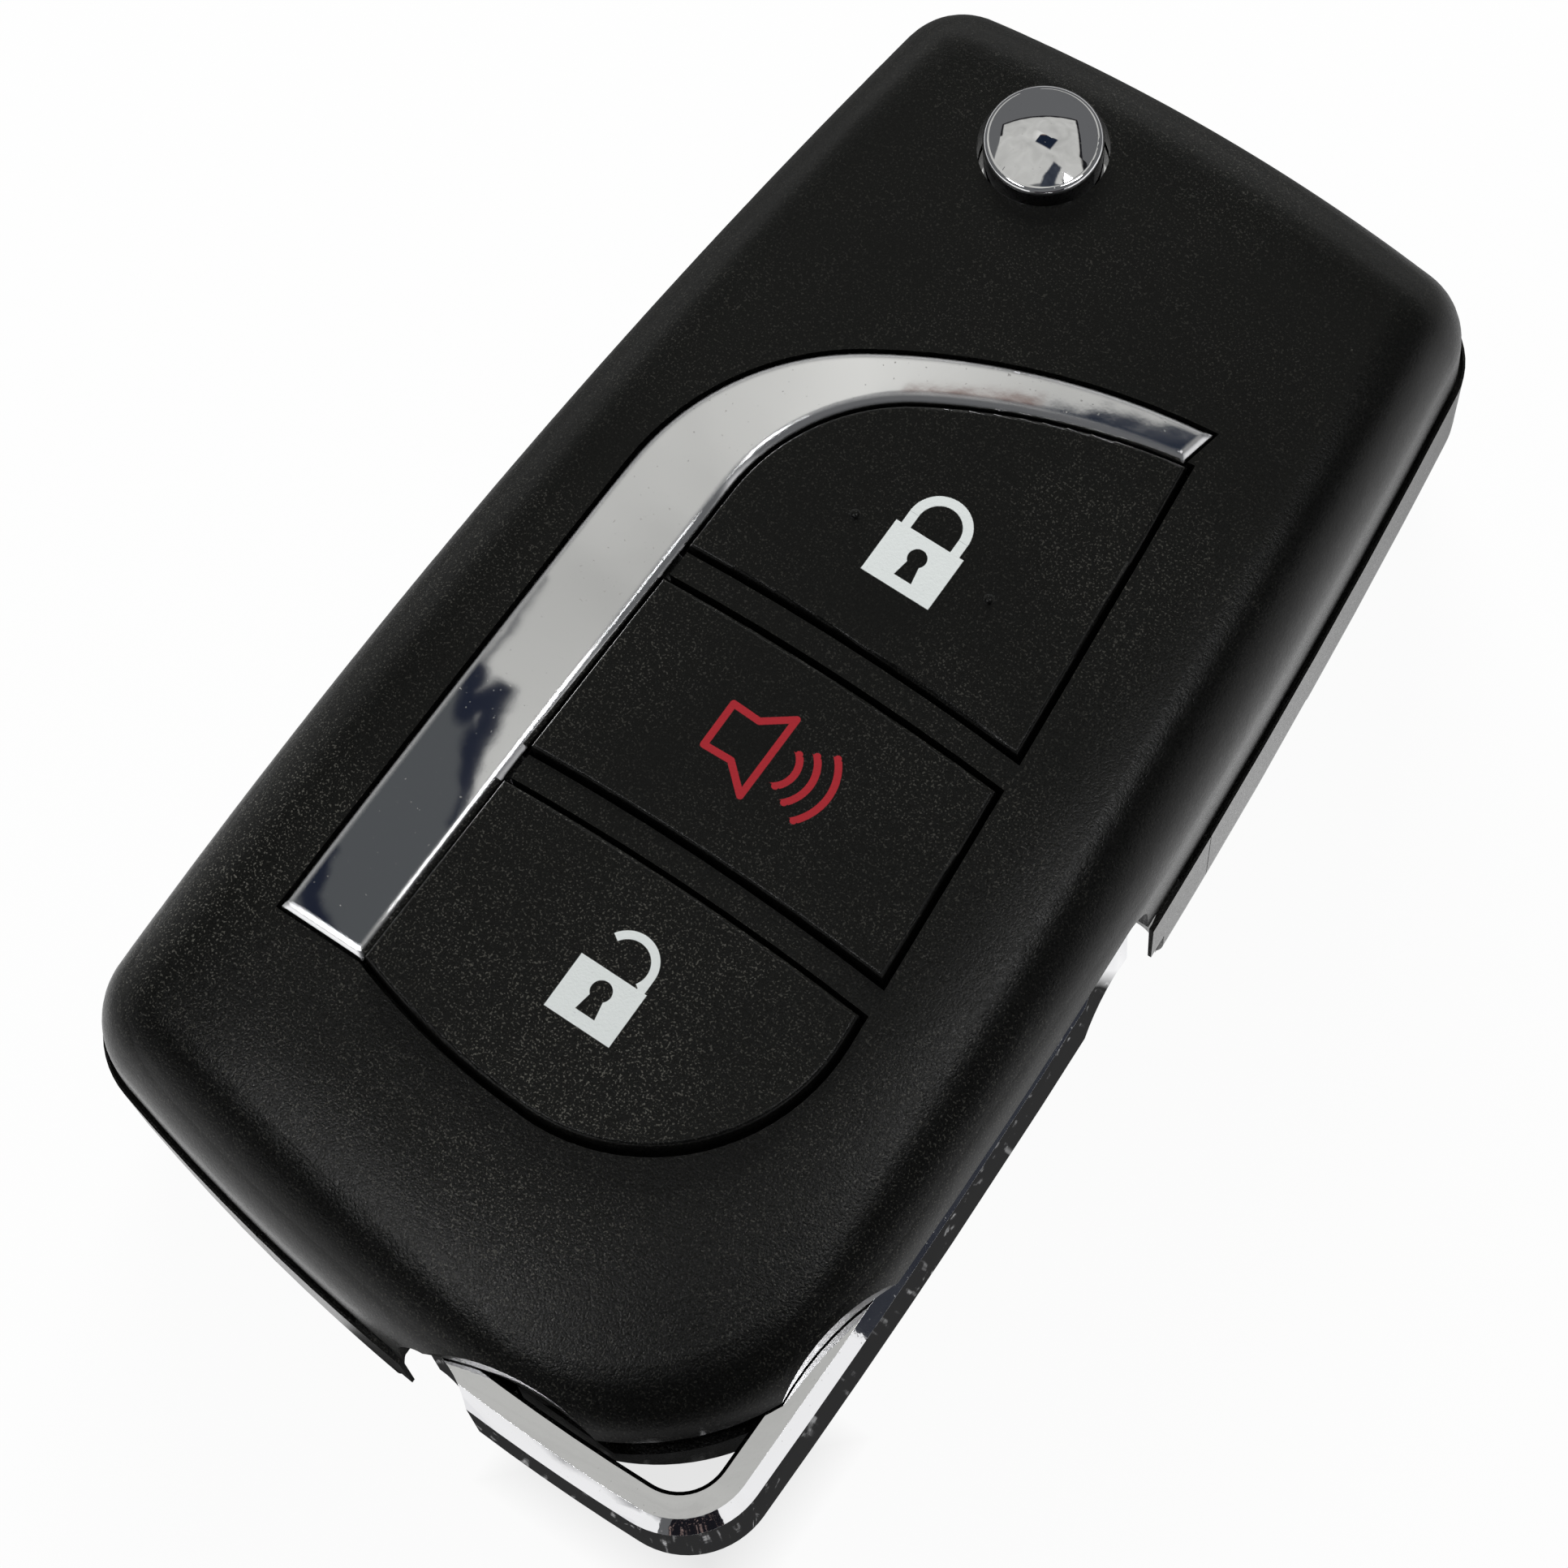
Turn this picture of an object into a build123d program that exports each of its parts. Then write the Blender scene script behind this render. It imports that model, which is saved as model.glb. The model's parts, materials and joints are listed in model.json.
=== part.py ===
from build123d import *
import math
import os

os.makedirs("parts", exist_ok=True)

# Keyless entry remote with a blade that folds into its left side.
# X is across the case, Y runs up to the blade end, Z comes out of the button face.
# The origin is on the back, near the middle of the case.

# Case seen from the front: four long arcs with rounded corners between them
case_length = 68.8
case_width = 38.0
side_radius = 443.0
widest_y = -24.5
top_radius = 100.0
bottom_radius = 105.0
lowest_x = 10.5
middle_x = 0.05
middle_y = 0.15
blade_corner = 3.9
top_corner = 4.0
left_corner = 4.6
right_corner = 12.7

# Case seen from the side
face_height = 16.0
seam_height = 9.6
seam_gap = 0.15
seam_step = 0.3
seam_rim = 0.12
seam_slot_width = 0.7
seam_slot_depth = 0.6
crown_radius = 520.0
crown_y = 6.0
shoulder = 3.5
back_round = 4.4
front_draft = 2.0
rear_draft = 1.0
wall = 1.5
thin_wall = 1.1
fit = 0.1
end_gap = 0.3
collar_gap = 0.6

# Key ring loop: a cast corner that completes the lower right corner of the case
loop_width = 1.8
loop_in_x = 0.45
loop_in_y = 0.1
loop_height = 5.9
loop_low = 6.6
loop_outer_corner = 4.0
loop_outer_bevel = 0.6
loop_inner_bevel = 0.2
loop_gap = 0.2
loop_across = 17.0
loop_along = 35.05
loop_gap_x = 0.9
loop_gap_y = 0.9
right_neck_radius = 15.5
right_neck_depth = 0.4
low_neck_radius = 4.6
low_neck_depth = 1.2
lip_hollow = 2.4
lip_edge = 0.25
lip_low = 5.6
lip_back = 1.2
anchor_width = 3.7
anchor_reach = 4.8
anchor_height = 1.6
anchor_hole = 1.1
anchor_room = 0.15

# Case wall behind the loop
scoop_radius = 14.0
right_scoop_y = -25.0
right_scoop_depth = 1.8
low_scoop_x = 9.3
low_scoop_depth = 2.3
skirt_low = 12.8
skirt_corner = 1.6
corner_lip_inset = 0.9
corner_lip_width = 0.35
corner_lip_low = 8.4
corner_lip_depth = 0.5
corner_inset = 2.2

# Keypad outline, level with its faces
key_lower_left = (-8.4, -20.9)
key_upper_left = (-7.65, 6.0)
key_bend = (-3.0, 13.9)
key_tip = (8.6, 18.0)
key_right_middle = (10.25, -1.0)
key_right_low = (11.05, -12.5)
key_round_middle = (8.3, -19.7)
key_bottom = (0.8, -22.45)
key_bottom_middle = (-3.9, -22.0)
key_gap = 0.3
key_height = 16.05
key_edge = 0.2
key_travel = 0.4
key_lip = 0.6
key_lip_thickness = 0.7
key_lip_top = 13.25
bar_width = 1.3
bar_middles = (1.9, -9.74)
bar_radius = 135.0
bump_radius = 0.32
bump_height = 0.16
bump_places = [(-2.4, 7.95), (4.85, 7.85)]

# Chrome inlay beside and above the keypad
inlay_lower_left = (-13.15, -21.0)
inlay_straight_end = (-12.45, 4.5)
inlay_bend = (-6.5, 14.9)
inlay_tip_top = (8.75, 20.1)
inlay_tip_low = (8.2, 17.6)
inlay_gap = 0.2
inlay_proud = 0.2
inlay_seat = 0.9
inlay_bevel = 0.3
inlay_clearance = 0.12
inlay_end_gap = 0.1

# Turning head and blade
pivot_in = 13.3
pivot_down = 6.6
hub_radius = 5.0
hub_low = 3.0
hub_top = 12.2
hub_clearance = 0.08
hub_wall = 1.1
hub_bore = 3.0
hub_bore_low = 4.2
head_low = 5.8
head_top = 9.25
head_reach = 8.95
blade_offset = 6.3
blade_width = 7.8
blade_thickness = 2.1
blade_low = 6.45
blade_reach = 45.45
blade_end_room = 2.5
blade_root = 5.0
blade_side = 0.4
blade_groove = 1.5
blade_groove_depth = 0.5
blade_room = 0.3
slot_low = 5.45
pin_radius = 0.75

# Release button over the pivot
release_radius = 2.8
release_hole = 3.08
release_rim = 16.45
release_dome = 0.45
release_travel = 1.2
release_lip = 3.4
release_lip_top = 13.4
release_lip_thickness = 0.8
release_stem = 2.2
release_stem_low = 8.2
release_counterbore = 3.7
release_edge = 0.3
spring_wire = 0.5
spring_turns = 4

# Electronics
board_thickness = 1.0
board_low = 8.4
board_end_gap = 1.5
board_side_gap = 0.25
switch_size = 3.6
switch_height = 1.4
plunger_radius = 0.9
plunger_height = 0.4
switch_places = [(1.5, 9.4), (1.2, -3.8), (1.2, -15.4)]
membrane_top = 11.9
membrane_sheet = 0.5
membrane_rim = 1.0
membrane_reach = 1.2
pad_radius = 2.4
pad_height = 0.1
cell_radius = 10.0
cell_thickness = 1.6
cell_low = 5.2
cell_in = 11.1
cell_up = 21.25
contact_thickness = 0.25
contact_width = 4.0
cradle_wall = 0.55
cradle_shelf = 2.0
board_room = 0.5
board_rest = 0.05
control_place = (-3.5, 2.1)
control_size = 7.0
control_height = 1.0
crystal_place = (6.0, 3.2)
crystal_length = 6.0
crystal_width = 2.2
crystal_height = 1.3
chip_x = 6.5
chip_up = 6.7
chip_length = 11.0
chip_width = 5.6
chip_height = 3.0

# Cover over the cell
cover_above = 5.2
cover_gap = 0.12

# Case screws
screw_from_right = 8.4
screw_from_left = 6.0
screw_from_top = 8.25
screw_from_bottom = 7.95
screw_radius = 0.9
screw_head = 1.7
screw_boss = 1.95
screw_length = 12.3
screw_low = 0.1
screw_head_height = 1.3
screw_recess = 0.5

board_top = board_low + board_thickness
top_end = middle_y + case_length / 2
bottom_end = middle_y - case_length / 2
half_width = case_width / 2
loop_clear = loop_in_x + loop_width + loop_gap
loop_end_x = half_width - loop_across
loop_end_y = bottom_end + loop_along
pivot = (pivot_in - half_width, top_end - pivot_down)
head_end = pivot[1] - head_reach
screw_places = [(half_width - screw_from_right, top_end - screw_from_top),
                (screw_from_left - half_width, bottom_end + screw_from_bottom)]


def crown(x, y):
    """Height of the crowned face over a point."""
    flat = x ** 2 + (y - crown_y) ** 2
    return face_height - crown_radius + math.sqrt(crown_radius ** 2 - flat)


def crown_ball(rise):
    """The big ball whose top is the crowned face, moved out or in by a rise."""
    with BuildPart() as ball:
        with Locations((0, crown_y, face_height - crown_radius)):
            Sphere(crown_radius + rise, rotation=(90, 0, 0))
    return ball.part


def corners_in_order(vertices):
    """Lower left, lower right, then the upper ones from left to right."""
    by_height = vertices.sort_by(Axis.Y)
    return [*by_height[:2].sort_by(Axis.X), *by_height[2:].sort_by(Axis.X)]


def case_plan(level, inset=0.0, corner=right_corner):
    """Outline of the case at a level, as a face, moved in by an inset."""
    side = side_radius - half_width
    with BuildSketch(Plane.XY.offset(level)) as plan:
        with Locations((middle_x + side, widest_y)):
            Circle(side_radius - inset)
        with Locations((middle_x - side, widest_y)):
            Circle(side_radius - inset, mode=Mode.INTERSECT)
        with Locations((0, top_end - top_radius)):
            Circle(top_radius - inset, mode=Mode.INTERSECT)
        with Locations((lowest_x, bottom_end + bottom_radius)):
            Circle(bottom_radius - inset, mode=Mode.INTERSECT)
        fillet(corners_in_order(plan.vertices())[2], max(blade_corner - inset, fit))
        fillet(corners_in_order(plan.vertices())[-1], max(top_corner - inset, fit))
        low_left, low_right = corners_in_order(plan.vertices())[:2]
        fillet(low_left, max(left_corner - inset, fit))
        if corner > inset:
            fillet(plan.vertices().sort_by_distance(low_right)[0], corner - inset)
    return plan.sketch


def side_x(y):
    """How far the case reaches to the right at a place along it."""
    return middle_x + half_width - side_radius + math.sqrt(side_radius ** 2 - (y - widest_y) ** 2)


def bottom_y(x):
    """How far down the case reaches at a place across it."""
    return bottom_end + bottom_radius - math.sqrt(bottom_radius ** 2 - (x - lowest_x) ** 2)


def loop_wall_plan(level, inset=0.0, corner=corner_inset):
    """Outline of the case wall behind the loop: clear of its bar and cut back at the corner."""
    with BuildSketch(Plane.XY.offset(level)) as plan:
        add(case_plan(level, corner + inset))
        add(case_plan(level, loop_clear + inset, loop_outer_corner), mode=Mode.INTERSECT)
    return plan.sketch


def scoop_plan(level, grow=0.0):
    """Two discs that set the case back beside the ends of the loop."""
    with BuildSketch(Plane.XY.offset(level)) as scoops:
        with Locations((side_x(right_scoop_y) - right_scoop_depth + scoop_radius, right_scoop_y),
                       (low_scoop_x, bottom_y(low_scoop_x) + low_scoop_depth - scoop_radius)):
            Circle(scoop_radius + grow)
    return scoops.sketch


def loop_zone(level, grow=0.0, corner=corner_inset):
    """Area outside the wall behind the loop, with a hollow behind both ends of the case's skin."""
    with BuildSketch(Plane.XY.offset(level)) as zone:
        with Locations((loop_end_x - grow, loop_end_y + grow)):
            Rectangle(case_width, case_length, align=(Align.MIN, Align.MAX))
        add(loop_wall_plan(level, grow, corner), mode=Mode.SUBTRACT)
        add(scoop_plan(level, grow))
        with Locations((side_x(loop_end_y) - lip_edge - lip_hollow, loop_end_y),
                       (loop_end_x, bottom_y(loop_end_x) + lip_edge + lip_hollow)):
            Circle(lip_hollow + grow)
    return zone.sketch


def keypad_plan(level, grow=0.0):
    """Outline round the three keys."""
    with BuildSketch(Plane.XY.offset(level)) as plan:
        with BuildLine():
            left = Line(key_lower_left, key_upper_left)
            bend = TangentArc(key_upper_left, key_bend, tangent=left % 1)
            TangentArc(key_bend, key_tip, tangent=bend % 1)
            ThreePointArc(key_tip, key_right_middle, key_right_low)
            ThreePointArc(key_right_low, key_round_middle, key_bottom)
            ThreePointArc(key_bottom, key_bottom_middle, key_lower_left)
        make_face()
        if grow:
            offset(amount=grow, kind=Kind.INTERSECTION)
    return plan.sketch


def bar_disc(apex, mode):
    """A big disc whose top is the arched edge of a bar or key."""
    with Locations((0, apex - bar_radius)):
        Circle(bar_radius, mode=mode)


def key_plan(number, level, grow=0.0):
    """Outline of one key: 0 is the top one, 2 the bottom one."""
    edge = bar_width / 2 + key_gap
    with BuildSketch(Plane.XY.offset(level)) as plan:
        add(keypad_plan(level))
        if number > 0:
            bar_disc(bar_middles[number - 1] - edge, Mode.INTERSECT)
        if number < 2:
            bar_disc(bar_middles[number] + edge, Mode.SUBTRACT)
        if grow:
            offset(amount=grow, kind=Kind.INTERSECTION)
    return plan.sketch


def inlay_plan(level, grow=0.0, overlap=0.0):
    """Outline of the chrome inlay, which follows the keypad's left and upper edge."""
    with BuildSketch(Plane.XY.offset(level)) as plan:
        with BuildLine():
            left = Line(inlay_lower_left, inlay_straight_end)
            bend = TangentArc(inlay_straight_end, inlay_bend, tangent=left % 1)
            TangentArc(inlay_bend, inlay_tip_top, tangent=bend % 1)
            Line(inlay_tip_top, inlay_tip_low)
            Line(inlay_tip_low, (key_lower_left[0], inlay_lower_left[1]))
            Line((key_lower_left[0], inlay_lower_left[1]), inlay_lower_left)
        make_face()
        if grow:
            offset(amount=grow, kind=Kind.INTERSECTION)
        add(keypad_plan(level, inlay_gap - overlap), mode=Mode.SUBTRACT)
    return plan.sketch


def front_form(inset, sink, rounding):
    """Solid form of the front half, moved in by an inset and down by a sink."""
    start = seam_height + seam_gap / 2 if inset == 0 else seam_height - 1
    with BuildPart() as form:
        extrude(case_plan(start, inset + seam_step), amount=face_height + 1 - start)
        draft(form.faces().filter_by(Axis.Z, reverse=True), Plane.XY.offset(start), front_draft)
        add(crown_ball(-sink), mode=Mode.INTERSECT)
        fillet(form.faces().sort_by(Axis.Z)[-1].edges(), rounding)
    return form.part


def rear_form(inset, lift, rounding):
    """Solid form of the rear half, moved in by an inset and up by a lift."""
    start = seam_height - seam_gap / 2
    with BuildPart() as form:
        extrude(case_plan(start, inset), amount=-(start - lift))
        draft(form.faces().filter_by(Axis.Z, reverse=True), Plane.XY.offset(start), -rear_draft)
        fillet(form.faces().sort_by(Axis.Z)[0].edges(), rounding)
        if inset:
            extrude(case_plan(start, inset), amount=1)
    return form.part


def upright(place, radius, low, high, mode=Mode.ADD):
    """A round bar at a place, between two levels."""
    with Locations((*place, low)):
        Cylinder(radius, high - low, align=(Align.CENTER, Align.CENTER, Align.MIN), mode=mode)


def block(left, right, near, far, low, high, mode=Mode.ADD):
    """A box between two levels, given by its four sides."""
    with Locations((left, near, low)):
        Box(right - left, far - near, high - low, align=(Align.MIN, Align.MIN, Align.MIN), mode=mode)


# Front shell: crowned face, soft shoulders and a skirt that stops above the loop
front_low = seam_height + seam_gap / 2
rear_top = seam_height - seam_gap / 2
hub_hole = hub_radius + hub_clearance
hub_collar = hub_hole + hub_wall
hub_collar_low = head_top + collar_gap
loop_right_end = loop_end_y - loop_gap_y
loop_bottom_end = loop_end_x + loop_gap_x
right_post = (side_x(loop_right_end) - loop_clear - anchor_reach / 2, loop_right_end - anchor_width / 2)
low_post = (loop_bottom_end + anchor_width / 2, bottom_y(loop_bottom_end) + loop_clear + anchor_reach / 2)

with BuildPart() as front_cavity:
    add(front_form(wall, wall, shoulder - wall))
    extrude(loop_zone(seam_height - 1, thin_wall), amount=skirt_low + thin_wall - seam_height + 1,
            mode=Mode.SUBTRACT)
    extrude(scoop_plan(seam_height - 1, thin_wall), amount=face_height, mode=Mode.SUBTRACT)

with BuildPart() as front_inside:
    upright(pivot, hub_collar, hub_collar_low, face_height)
    for place in screw_places:
        upright(place, screw_boss, front_low, face_height)
    add(front_form(wall / 2, wall / 2, shoulder - wall / 2), mode=Mode.INTERSECT)

with BuildPart() as skirt_cut:
    block(loop_end_x, case_width, -case_length, loop_end_y, seam_height - 1, skirt_low)
    fillet(skirt_cut.edges().filter_by(Axis.X).sort_by(Axis.Y)[-2:].sort_by(Axis.Z)[-1], skirt_corner)
    fillet(skirt_cut.edges().filter_by(Axis.Y).sort_by(Axis.X)[:2].sort_by(Axis.Z)[-1], skirt_corner)
    extrude(loop_zone(seam_height - 1), amount=skirt_low - seam_height + 1, mode=Mode.INTERSECT)
    extrude(scoop_plan(seam_height - 1), amount=face_height)

with BuildPart() as inlay_recess:
    extrude(inlay_plan(key_lip_top, inlay_clearance, key_gap), amount=face_height - key_lip_top + 1)
    add(crown_ball(-inlay_seat), mode=Mode.SUBTRACT)

with BuildPart() as front_shell:
    add(front_form(0, 0, shoulder))
    add(front_cavity.part, mode=Mode.SUBTRACT)
    add(front_inside.part)
    add(skirt_cut.part, mode=Mode.SUBTRACT)
    for number in range(3):
        extrude(key_plan(number, key_lip_top, key_gap), amount=face_height, mode=Mode.SUBTRACT)
    add(inlay_recess.part, mode=Mode.SUBTRACT)
    upright(pivot, release_hole, front_low, face_height + 1, Mode.SUBTRACT)
    upright(pivot, hub_hole, front_low, hub_top + end_gap, Mode.SUBTRACT)
    upright(pivot, release_lip + fit, front_low, release_lip_top + end_gap, Mode.SUBTRACT)
    for place in screw_places:
        upright(place, screw_radius, front_low, screw_low + screw_length + end_gap, Mode.SUBTRACT)
    for place in (right_post, low_post):
        upright(place, anchor_hole - fit, loop_low + end_gap, crown(*place) - wall / 2)
front_shell.part.label = "front_shell"

# Rear shell and cell cover come from one form, split by the cover's edge
cover_cut = cover_gap / 2
swept_radius = math.hypot(blade_offset + blade_width / 2 + blade_side, pivot[1] - head_end) + blade_room
blade_x = pivot[0] - blade_offset
bay_wall_x = blade_x + blade_width / 2 + blade_room
unfolded_right_x = pivot[0] + blade_offset + blade_width / 2 + blade_side + blade_room
blade_tip_y = pivot[1] - blade_reach
slot_end_y = blade_tip_y - blade_end_room
cover_left_x = bay_wall_x + thin_wall
cover_top_y = loop_end_y + cover_above
cell_place = (cover_left_x + cell_in, bottom_end + cell_up)
cross_rib_y = cover_top_y + blade_room
rib_top = board_low - board_rest
chip_place = (chip_x, cross_rib_y + chip_up)
board_top_y = head_end - board_end_gap

with BuildPart() as cover_block:
    block(cover_left_x, case_width, -case_length, cover_top_y, 0, face_height)

with BuildPart() as rear_cavity:
    add(rear_form(wall, wall, back_round - wall))
    extrude(loop_zone(0, thin_wall), amount=face_height, mode=Mode.SUBTRACT)

with BuildPart() as loop_cut:
    extrude(loop_zone(-1), amount=corner_lip_low + 1)
    extrude(loop_zone(corner_lip_low, 0, corner_lip_inset), amount=face_height)
    # Step behind the corner lip
    with BuildSketch(Plane.XY.offset(rear_top - corner_lip_depth)):
        with Locations((loop_end_x, loop_end_y)):
            Rectangle(case_width, case_length, align=(Align.MIN, Align.MAX))
        add(loop_wall_plan(rear_top, corner_lip_width, corner_lip_inset), mode=Mode.INTERSECT)
    extrude(amount=face_height)
    # Skin cut away under the tips of both lips
    block(side_x(loop_end_y) - lip_edge * 2, case_width, -case_length, loop_end_y + lip_back, -1, lip_low)
    block(loop_end_x - lip_back, case_width, -case_length, bottom_y(loop_end_x) + lip_edge * 2, -1, lip_low)
    # Ways through for the loop's two anchors
    reach = anchor_width / 2 + anchor_room
    block(right_post[0] - reach, case_width, right_post[1] - reach, right_post[1] + reach,
          loop_low - anchor_room, face_height)
    block(low_post[0] - reach, low_post[0] + reach, -case_length, low_post[1] + reach,
          loop_low - anchor_room, face_height)

# Narrow slot all round the seam, between the rim of the rear half and the wall of the front half
with BuildPart() as seam_slot:
    with BuildSketch(Plane.XY.offset(rear_top - seam_slot_depth)):
        add(case_plan(rear_top, seam_rim))
        add(case_plan(rear_top, seam_rim + seam_slot_width), mode=Mode.SUBTRACT)
        add(loop_zone(rear_top, thin_wall), mode=Mode.SUBTRACT)
    extrude(amount=face_height)

with BuildPart() as blade_bay:
    with BuildSketch(Plane.XY.offset(slot_low)):
        with Locations((bay_wall_x, slot_end_y)):
            Rectangle(case_width, pivot[1] - slot_end_y, align=(Align.MAX, Align.MIN))
        with Locations(pivot):
            Circle(swept_radius)
        with Locations((unfolded_right_x, pivot[1])):
            Rectangle(case_width, case_length, align=(Align.MIN, Align.MIN), mode=Mode.SUBTRACT)
    extrude(amount=face_height)

with BuildPart() as rear_inside:
    # Wall between the blade and the electronics
    block(bay_wall_x, bay_wall_x + thin_wall, bottom_end, head_end - blade_side, wall / 2, rib_top)
    # Rib across the case above the cover
    block(bay_wall_x, half_width, cross_rib_y, cross_rib_y + thin_wall, wall / 2, rib_top)
    # Collar for the lower end of the hub
    upright(pivot, hub_collar, wall / 2, slot_low)
    # Floor of the blade bay
    block(-half_width, bay_wall_x, slot_end_y, head_end, wall / 2, slot_low)
    for place in screw_places:
        upright(place, screw_boss, wall / 2, rear_top)
    # Fence that holds the transponder
    block(chip_place[0] - chip_length / 2 - thin_wall, chip_place[0] + chip_length / 2 + thin_wall,
          chip_place[1] - chip_width / 2 - thin_wall, chip_place[1] + chip_width / 2 + thin_wall,
          wall / 2, wall + chip_height / 2)
    add(rear_form(wall / 2, 0, back_round - wall / 2), mode=Mode.INTERSECT)
    block(chip_place[0] - chip_length / 2 - fit, chip_place[0] + chip_length / 2 + fit,
          chip_place[1] - chip_width / 2 - fit, chip_place[1] + chip_width / 2 + fit,
          wall, wall + chip_height, Mode.SUBTRACT)

with BuildPart() as rear_shell:
    add(rear_form(0, 0, back_round))
    add(rear_cavity.part, mode=Mode.SUBTRACT)
    add(loop_cut.part, mode=Mode.SUBTRACT)
    add(seam_slot.part, mode=Mode.SUBTRACT)
    add(rear_inside.part)
    add(blade_bay.part, mode=Mode.SUBTRACT)
    upright(pivot, hub_hole, hub_low - end_gap, seam_height, Mode.SUBTRACT)
    add(cover_block.part, mode=Mode.SUBTRACT)
    for place in screw_places:
        upright(place, screw_radius + fit, 0, seam_height, Mode.SUBTRACT)
        upright(place, screw_head + fit, 0, screw_low + screw_head_height, Mode.SUBTRACT)
rear_shell.part.label = "rear_shell"

with BuildPart() as battery_cover:
    add(rear_form(0, 0, back_round))
    add(rear_cavity.part, mode=Mode.SUBTRACT)
    # Round cradle for the cell
    upright(cell_place, cell_radius + fit + cradle_wall, wall / 2, cell_low + cell_thickness / 2)
    upright(cell_place, cell_radius + fit, cell_low, seam_height, Mode.SUBTRACT)
    upright(cell_place, cell_radius - cradle_shelf, wall, seam_height, Mode.SUBTRACT)
    # Way through for the contact at the edge of the cell
    block(cover_left_x, cell_place[0], cell_place[1] - contact_width / 2 - fit,
          cell_place[1] + contact_width / 2 + fit, cell_low, seam_height, Mode.SUBTRACT)
    add(loop_cut.part, mode=Mode.SUBTRACT)
    add(seam_slot.part, mode=Mode.SUBTRACT)
    block(cover_left_x + cover_cut, case_width, -case_length, cover_top_y - cover_cut, 0, seam_height,
          Mode.INTERSECT)
battery_cover.part.label = "battery_cover"

# Chrome inlay, seated on the floor of its recess
with BuildPart() as trim_inlay:
    extrude(inlay_plan(key_lip_top), amount=face_height)
    add(crown_ball(inlay_proud), mode=Mode.INTERSECT)
    add(crown_ball(-inlay_seat), mode=Mode.SUBTRACT)
    chamfer(trim_inlay.faces().sort_by(Axis.Z)[-1].edges(), inlay_bevel)
trim_inlay.part.label = "trim_inlay"

# Key ring loop with two flat anchors round posts of the front shell
with BuildPart() as key_loop:
    with BuildSketch(Plane.XY.offset(loop_low)):
        add(case_plan(loop_low, 0, loop_outer_corner))
        add(case_plan(loop_low, loop_width, loop_outer_corner), mode=Mode.SUBTRACT)
    extrude(amount=loop_height)
    ends = key_loop.faces().filter_by(Axis.Z)
    chamfer([edge for face in ends for edge in face.outer_wire().edges()], loop_outer_bevel)
    ends = key_loop.faces().filter_by(Axis.Z)
    chamfer([edge for face in ends for edge in face.inner_wires()[0].edges()], loop_inner_bevel)
    block(loop_bottom_end + loop_in_x, case_width, -case_length, loop_right_end - loop_in_y, 0, face_height,
          Mode.INTERSECT)
key_loop_bar = key_loop.part.moved(Location((-loop_in_x, loop_in_y, 0)))

with BuildPart() as key_loop:
    add(key_loop_bar)
    neck_x = side_x(loop_right_end) - loop_in_x - right_neck_depth + right_neck_radius
    upright((neck_x, loop_right_end), right_neck_radius, 0, face_height, Mode.SUBTRACT)
    neck_y = bottom_y(loop_bottom_end) + low_neck_depth - low_neck_radius
    upright((loop_bottom_end, neck_y), low_neck_radius, 0, face_height, Mode.SUBTRACT)
    block(right_post[0] - anchor_width / 2, side_x(loop_right_end) - loop_in_x - right_neck_depth,
          loop_right_end - anchor_width, loop_right_end, loop_low, loop_low + anchor_height)
    block(loop_bottom_end, loop_bottom_end + anchor_width, bottom_y(loop_bottom_end) + low_neck_depth,
          low_post[1] + anchor_width / 2, loop_low, loop_low + anchor_height)
    for place in (right_post, low_post):
        upright(place, anchor_hole, 0, face_height, Mode.SUBTRACT)
key_loop.part.label = "key_loop"

# Turning head: a hub in two collars, with the blade's root in a slot of its head
head_left = blade_x - blade_width / 2 - blade_side
head_right = blade_x + blade_width / 2 + blade_side / 2
with BuildPart() as blade_hub:
    upright(pivot, hub_radius, hub_low, hub_top)
    with BuildSketch(Plane.XY.offset(head_low)):
        with BuildLine():
            Polyline((head_left, head_end), (head_right, head_end),
                     (head_right, pivot[1] - hub_radius / 2), (pivot[0], pivot[1]),
                     (pivot[0] - hub_radius / 2, pivot[1] + hub_radius * math.cos(math.pi / 6)),
                     (blade_x - blade_width / 4, pivot[1] - blade_side),
                     (head_left, pivot[1] - hub_radius), (head_left, head_end))
        make_face()
        add(case_plan(head_low, blade_side), mode=Mode.INTERSECT)
    extrude(amount=head_top - head_low)
    # Slot for the root of the blade
    block(blade_x - blade_width / 2, blade_x + blade_width / 2, head_end - 1, head_end + blade_root,
          blade_low, blade_low + blade_thickness, Mode.SUBTRACT)
    upright((blade_x, head_end + blade_root / 2), pin_radius, head_low, head_top, Mode.SUBTRACT)
    upright(pivot, hub_bore, hub_bore_low, hub_top, Mode.SUBTRACT)
    upright(pivot, release_counterbore, release_lip_top - release_lip_thickness - release_travel - end_gap,
            hub_top, Mode.SUBTRACT)
blade_hub.part.label = "blade_hub"

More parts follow.
